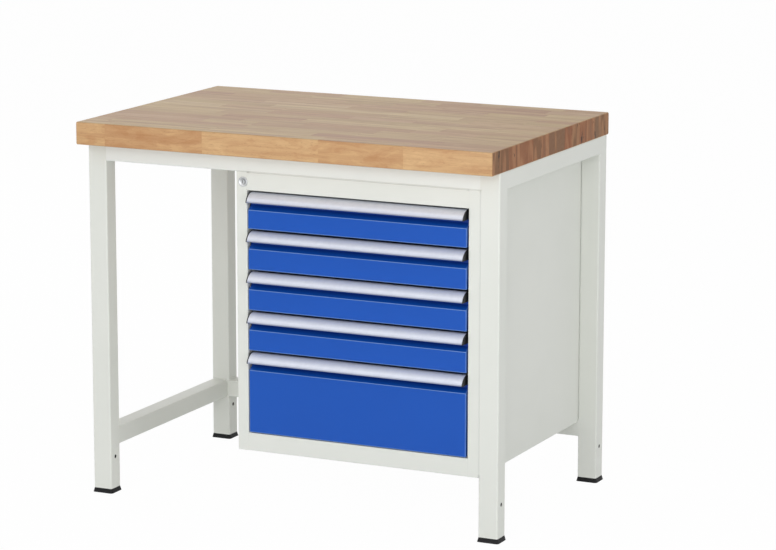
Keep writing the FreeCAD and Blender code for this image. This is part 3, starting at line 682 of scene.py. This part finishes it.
lock_low, lock_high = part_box("lock_housing")
lock_centre = ((lock_low.x + lock_high.x) / 2, front_face, (lock_low.z + lock_high.z) / 2)
bezel_radius = (lock_high.x - lock_low.x) / 2
bezel_proud = front_face - lock_low.y
barrel_length = lock_high.y - front_face
barrel_radius = 0.007
bore = 0.005
rim_round = 0.0012
rim_inner = bezel_radius - rim_round - 0.0012
dish_outer, dish_inner = rim_inner - 0.0006, bore + 0.0014
dish_high, dish_low = bezel_proud - 0.0004, bezel_proud - 0.0006
seat_radius, seat = bore + 0.0008, bezel_proud - 0.0016
quarter = np.linspace(0, math.pi / 2, 7)
turned_off = rim_round * (1 - np.array([np.sin(quarter), np.cos(quarter)]).T)
bezel_profile = [
    (bore, -barrel_length),
    (bore, seat),
    (seat_radius, seat),
    (dish_inner, dish_low),
    (dish_outer, dish_high),
    (rim_inner, bezel_proud),
    *(np.array([bezel_radius, bezel_proud]) - turned_off),
    (bezel_radius, 0.0),
    (barrel_radius, 0.0),
    (barrel_radius, -barrel_length),
]
bezel = new_piece("lock_bezel", *turned(bezel_profile, lock_centre), nickel, "frame")
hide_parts("lock_housing")
wear(nickel, "lock_plug")
wear(zinc, "locking_bar")

# ---------------------------------------------------------------------------------------------------------
# Drawers: each has a folded tray of sheet steel, powder-coated pale grey, and a folded front in gentian
# blue, whose upper part is set back behind the handle. Its folds are rounded, and its ends folded back.
# A painted highlight lightens the rounded folds and ends, and painted shade darkens the recess.
# ---------------------------------------------------------------------------------------------------------
tray_paint = powder_coat("tray_paint", colour(205, 207, 203), colour(198, 201, 197), 0.4, 0.52)
drawer_paint = powder_coat(
    "drawer_paint",
    colour(8, 80, 178),
    colour(6, 76, 172),
    0.26,
    0.36,
    peel=0.00002,
    shine=0.3,
    # A painted highlight on the rounded folds and ends, and painted shade in the recess behind the handle.
    highlight_tone=colour(124, 158, 210),
    shade_tone=colour(4, 56, 148),
)
drawers = range(1, 6)
wear(tray_paint, *[f"drawer_{k}_tray" for k in drawers])
support = 0.0003


def rounded_path(corners, radii, steps=8):
    """Points, ways out and bend marks along straight runs with rounded corners. At a corner that turns by an
    angle, the arc begins its radius times the tangent of half the angle before the corner. Its points are
    its centre plus the radius times the way out, which turns evenly from one run's to the next. A further
    point lies just outside each end of the arc."""
    corners = np.array(corners, float)
    runs = np.diff(corners, axis=0)
    runs /= np.linalg.norm(runs, axis=1)[:, None]
    outs = np.column_stack([runs[:, 1], -runs[:, 0]])
    points, ways, bends = [corners[:1]], [outs[:1]], [[0.0]]
    bent = zip(corners[1:-1], radii, runs, runs[1:], outs, outs[1:])
    for corner, radius, before, after, out, next_out in bent:
        turn = math.atan2(before[0] * after[1] - before[1] * after[0], before @ after)
        reach = radius * math.tan(abs(turn) / 2)
        angle = np.linspace(0, turn, steps)[:, None]
        way = out * np.cos(angle) + before * np.sin(angle)
        side = math.copysign(radius, turn)
        centre = corner - reach * before - side * out
        run_in, run_out = corner - (reach + support) * before, corner + (reach + support) * after
        points += [[run_in], centre + side * way, [run_out]]
        ways += [[out], way, [next_out]]
        bends += [[0.0], np.sin(np.linspace(0, math.pi, steps)) * (turn > 0), [0.0]]
    lots = [*points, corners[-1:]], [*ways, outs[-1:]], [*bends, [0.0]]
    return (np.concatenate(lot) for lot in lots)


sheet = 0.0012
end_round = 0.0024
running_gap = 0.002
top_drop = 0.004
fold_drop, ledge_drop = 0.041, 0.031
recess_depth = 0.0145
fold_radii = 0.002, 0.0016, 0.0026, 0.0022
shade_start, shade_run = 0.0015, 0.004
end_shine = 0.6


def front_skin(drawer):
    """A drawer's front: the fold's path in Y and Z carried along X. Over the last 2.4 mm at each end the
    skin is drawn in along the path's way out by a quarter circle, and a flat face closes it. It is open
    behind. The bend marks, for a painted highlight, follow the sine along each rounded fold that stands out,
    and along each end. The fold marks, for painted shade, rise with the depth behind the front's face, above
    its lower fold."""
    low, high = (corner.copy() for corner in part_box(f"drawer_{drawer}_front"))
    high.x -= running_gap
    fold_level, ledge, top = high.z - fold_drop, high.z - ledge_drop, high.z - top_drop
    recess = low.y + recess_depth
    behind = [(high.y, top), (recess, top), (recess, ledge)]
    ahead = [(low.y, fold_level), (low.y, low.z), (high.y, low.z)]
    path, ways, bends = rounded_path(behind + ahead, fold_radii)
    angle = np.linspace(0, math.pi / 2, 7)
    inset = end_round * np.concatenate([1 - np.sin(angle), [0, 0], 1 - np.sin(angle[::-1])])
    step_in = np.concatenate([end_round * (1 - np.cos(angle)), [end_round + support]])
    across = np.concatenate([low.x + step_in, (high.x - step_in)[::-1]])
    points = np.empty((len(path), len(across), 3))
    points[..., 0] = across
    points[..., 1:] = path[:, None] - ways[:, None] * inset[:, None]
    rows, columns = points.shape[:2]
    left_end = np.arange(rows)[::-1] * columns
    right_end = np.arange(rows) * columns + columns - 1
    faces = [*grid_quads(rows, columns)[:, faced_back].tolist(), left_end.tolist(), right_end.tolist()]
    above_fold = path[:, 1] > fold_level - 0.002
    fold = np.clip((path[:, 0] - low.y - shade_start) / shade_run, 0, 1) * above_fold
    end_mark = np.concatenate([np.sin(2 * angle), [0, 0], np.sin(2 * angle)]) * end_shine
    bend = np.maximum(np.array(bends)[:, None], end_mark * (1 - fold)[:, None])
    return points.reshape(-1, 3), faces, bend.ravel(), np.repeat(fold, columns)


for k in drawers:
    points, faces, bends, folds = front_skin(k)
    skin = new_piece(f"drawer_{k}_skin", points, faces, drawer_paint, f"drawer_{k}")
    marked(skin, "bend", bends)
    marked(skin, "fold", folds)
    thickness = skin.modifiers.new("sheet", "SOLIDIFY")
    thickness.thickness, thickness.offset = sheet, -1.0
    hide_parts(f"drawer_{k}_front")

# ---------------------------------------------------------------------------------------------------------
# Handles: an extruded aluminium hood along the top of each front, satin anodised, with faint die lines along
# its length. A black moulded cap closes each end. Painted shade darkens the underside of each lip.
# ---------------------------------------------------------------------------------------------------------
aluminium = bare_metal(
    "handle_aluminium",
    colour(221, 225, 235),
    colour(216, 220, 231),
    0.44,
    0.52,
    (0.004, 1.0, 1.0),
    0.000002,
    metallic=0.35,
    # Painted shade: the darker tone on the hood's underside.
    under=colour(104, 116, 146),
)
hood_inset = 0.003
hood_start = front_face + 0.011
hood_radius = 0.02915
hood_drop = 0.0022
hood_reach = 0.02725
hood_sweep = math.asin(hood_reach / hood_radius)
hood_wall = 0.0018
lip_radius = 0.0015
web = 0.002
flange_height = 0.02
flange_back = front_face + 0.0145
flange_cut = 0.0002
outer_points, inner_points, lip_points = 28, 20, 18


def hood_arc(top, radius, angle):
    """Points about the hood's axis: its start less the radius times the sine of the angle off the vertical,
    and its centre plus the radius times the cosine."""
    return np.column_stack([hood_start - radius * np.sin(angle), top - hood_radius + radius * np.cos(angle)])


def hood_profile(top):
    """The hood's outline in Y and Z: its outer arc, round the lip in a circle, back along the inner arc, and
    round the web and the flange that lies on the front, whose corners are cut by 0.2 mm. Its underside
    marks, for painted shade, rise over the last fifth of the outer arc to 0.3, go on round the lip to 1, and
    stay there behind it."""
    behind_lip = hood_sweep - 0.8 * lip_radius / hood_radius
    outer = hood_arc(top, hood_radius, np.linspace(0, behind_lip, outer_points))
    way = np.array([-math.sin(hood_sweep), math.cos(hood_sweep)])
    onward = np.array([-math.cos(hood_sweep), -math.sin(hood_sweep)])
    turn = np.linspace(math.radians(-50), math.radians(230), lip_points)[:, None]
    lip_centre = hood_arc(top, hood_radius - hood_wall / 2, hood_sweep)
    lip = lip_centre + lip_radius * (np.cos(turn) * way + np.sin(turn) * onward)
    inner_radius = hood_radius - hood_wall
    web_angle = math.acos((hood_radius - web) / inner_radius)
    inner = hood_arc(top, inner_radius, np.linspace(behind_lip, web_angle, inner_points))
    front, back, low = flange_back - web, flange_back, top - flange_height
    rest = [
        (front - flange_cut, top - web),
        (front, top - web - flange_cut),
        (front, low + flange_cut),
        (front + flange_cut, low),
        (back - flange_cut, low),
        (back, low + flange_cut),
        (back, top - flange_cut),
        (back - flange_cut, top),
    ]
    under_arc = np.clip(np.linspace(-1.2, 0.3, outer_points), 0, 1)
    under_lip = np.clip(0.3 + np.degrees(turn.ravel() + 0.87) / 140, 0, 1)
    behind = np.ones(inner_points + len(rest))
    return np.concatenate([outer, lip, inner, rest]), np.concatenate([under_arc, under_lip, behind])


cap_thickness = 0.0022
cap_proud = 0.0008
cap_front_angle = 0.06
cap_below_lip = 0.0023
cap_arc_points = 16
cap_back_step = 0.004
cap_corner, cap_arc_round, cap_lip_round = 0.0012, 0.008, 0.002


def cap_profile(top):
    """The cap's outline: 0.8 mm outside the hood's from a flat back, over its arc and to below its lip, with
    the lower corners rounded. Gives the way out at each point as well."""
    angles = np.linspace(cap_front_angle, hood_sweep, cap_arc_points)
    outer = hood_arc(top, hood_radius + cap_proud, angles)
    low = top - hood_radius * (1 - math.cos(hood_sweep)) - cap_below_lip
    back, crest = flange_back - web, top + cap_proud
    corners = [(back, crest - cap_back_step), (back, crest), *outer, (outer[-1, 0], low), (back, low)]
    arc_rounds = [cap_arc_round] * (cap_arc_points - 1)
    radii = [cap_corner, *arc_rounds, cap_lip_round, cap_corner, cap_corner]
    path, ways, _ = rounded_path([*corners, corners[0]], radii, steps=4)
    return path[:-1], ways[:-1]


def carried(profile, ways, across, inset):
    """The profile in Y and Z carried to each place across, drawn in there by the inset along its ways."""
    rings = np.empty((len(across), len(profile), 3))
    rings[..., 0] = np.array(across)[:, None]
    rings[..., 1:] = profile - ways * np.array(inset)[:, None, None]
    return loft(rings)


for k in drawers:
    low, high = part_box(f"drawer_{k}_front")
    hood_left, hood_right = low.x + hood_inset + cap_thickness, high.x - hood_inset - cap_thickness
    stations = hood_left, hood_left + support, hood_right - support, hood_right
    profile, under = hood_profile(high.z - hood_drop)
    lines = carried(profile, np.zeros(2), stations, np.zeros(len(stations)))
    hood = new_piece(f"drawer_{k}_hood", *lines, aluminium, f"drawer_{k}")
    marked(hood, "under", np.tile(under, len(stations)))
    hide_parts(f"drawer_{k}_handle")

cap = Finish("cap_plastic")
place = cap.place()
grain = cap.mottle(place, 1700.0, 2.0, 0.6)
handled = cap.mottle(place, 40.0).between(0.4, 0.7)
cap_plastic = cap.surface(
    {
        "Base Color": cap.mix(handled, colour(22, 22, 24), colour(30, 30, 31)),
        "Roughness": grain * 0.15 + 0.38,
        "Specular IOR Level": 0.4,
        "Normal": cap.bumped(grain, 0.00004),
    }
)
cap_edge = np.array([0.0, 0.00015, 0.0005])
through_cap = np.concatenate([cap_edge, (cap_thickness - cap_edge)[::-1]])
drawn_in = np.concatenate([cap_edge[::-1], cap_edge])
for k in drawers:
    low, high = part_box(f"drawer_{k}_front")
    starts = low.x + hood_inset, high.x - hood_inset - cap_thickness
    outline = cap_profile(high.z - hood_drop)
    plates = [carried(*outline, start + through_cap, drawn_in) for start in starts]
    caps = new_piece(f"drawer_{k}_hood_caps", *joined(plates), cap_plastic, f"drawer_{k}")
    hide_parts(f"drawer_{k}_handle_caps")

# ---------------------------------------------------------------------------------------------------------
# Studio: a white floor that keeps the bench's soft shadow, a nearly even world, and five lamps. The
# strongest is in front, the next at the right, and weaker ones fill in from the left and from behind. A
# small one higher up, in front and to the left, gives the hoods a glint.
# ---------------------------------------------------------------------------------------------------------
pure_white = (1.0, 1.0, 1.0, 1.0)


def seen_rays(finish):
    """1 for a ray that the camera sends, also by way of a mirror or glass, and 0 for every other one."""
    rays = finish.node("LightPath", {}, {}, "Is Camera Ray")
    return rays.larger(rays["Is Glossy Ray"]).larger(rays["Is Transmission Ray"])


stage_paint = Finish("studio_floor")
pale = stage_paint.mottle(stage_paint.place(), 4.0)
shade = stage_paint.mix(pale, (0.86, 0.86, 0.86, 1.0), (0.88, 0.88, 0.88, 1.0))
grey = stage_paint.node("BsdfDiffuse", {}, {"Color": shade})
white = stage_paint.node("Emission", {}, {"Color": pure_white, "Strength": 1.0})
lit = stage_paint.node("MixShader", {}, {0: seen_rays(stage_paint) * 0.98, 1: grey, 2: white})
stage_paint.node("OutputMaterial", {}, {"Surface": lit})
reach = 60.0
floor_corners = [(-reach, -reach, 0), (reach, -reach, 0), (reach, reach, 0), (-reach, reach, 0)]
mesh = bpy.data.meshes.new("studio_floor")
mesh.from_pydata(floor_corners, [], [(0, 1, 2, 3)])
mesh.materials.append(stage_paint.owner)
floor = bpy.data.objects.new("studio_floor", mesh)
bpy.context.scene.collection.objects.link(floor)

horizon_light, overhead_light = 0.42, 0.49
world = bpy.data.worlds.new("studio")
bpy.context.scene.world = world
sky = Finish(world)
seen = seen_rays(sky)
height = sky.parts(sky.node("TexCoord", {}, {}, "Generated"))["Z"]
level = height.between(0.05, 0.75) * (overhead_light - horizon_light) + horizon_light
strength = level + seen * (1.0 - level)
dome = sky.node("Background", {}, {"Color": pure_white, "Strength": strength})
sky.node("OutputWorld", {}, {"Surface": dome})
bench_middle = Vector((0.0, 0.0, 0.45))


def softbox(name, size, watts, azimuth, elevation, distance):
    """A square lamp that far from the bench's middle, turned from straight ahead to the right by azimuth."""
    lamp = bpy.data.lights.new(name, "AREA")
    lamp.size, lamp.energy = size, watts
    made = bpy.data.objects.new(name, lamp)
    a, e = math.radians(azimuth), math.radians(elevation)
    back = Vector((math.sin(a) * math.cos(e), -math.cos(a) * math.cos(e), math.sin(e)))
    made.location = bench_middle + back * distance
    made.rotation_euler = (-back).to_track_quat("-Z", "Y").to_euler()
    bpy.context.scene.collection.objects.link(made)


softbox("key_lamp", size=3.4, watts=96.0, azimuth=12.0, elevation=11.0, distance=4.5)
softbox("side_lamp", size=2.5, watts=51.0, azimuth=75.0, elevation=14.0, distance=5.0)
softbox("glint_lamp", size=1.2, watts=14.0, azimuth=-25.0, elevation=40.0, distance=5.0)
softbox("left_lamp", size=2.5, watts=40.0, azimuth=-110.0, elevation=20.0, distance=5.0)
softbox("back_lamp", size=2.5, watts=14.0, azimuth=215.0, elevation=30.0, distance=5.0)

# Camera: a long lens in front, to the right and a little above, which sees the bench whole.
lens = bpy.data.cameras.new("camera")
lens.sensor_width, lens.lens = 36.0, 147.27
lens.clip_start, lens.clip_end = 0.1, 200.0
camera = bpy.data.objects.new("camera", lens)
camera_place = 3.09777, -6.2619, 1.87655
yaw, pitch, roll = math.radians(25.54), math.radians(11.21), math.radians(0.05)
forward = Vector((-math.sin(yaw) * math.cos(pitch), math.cos(yaw) * math.cos(pitch), -math.sin(pitch)))
level_right = forward.cross(Vector((0, 0, 1))).normalized()
level_up = level_right.cross(forward)
right = level_right * math.cos(roll) + level_up * math.sin(roll)
upward = right.cross(forward)
bpy.context.scene.collection.objects.link(camera)
turned_to = Matrix((right, upward, -forward)).transposed().to_4x4()
camera.matrix_world = Matrix.Translation(camera_place) @ turned_to
bpy.context.scene.camera = camera
bpy.context.scene.view_settings.view_transform = "Standard"
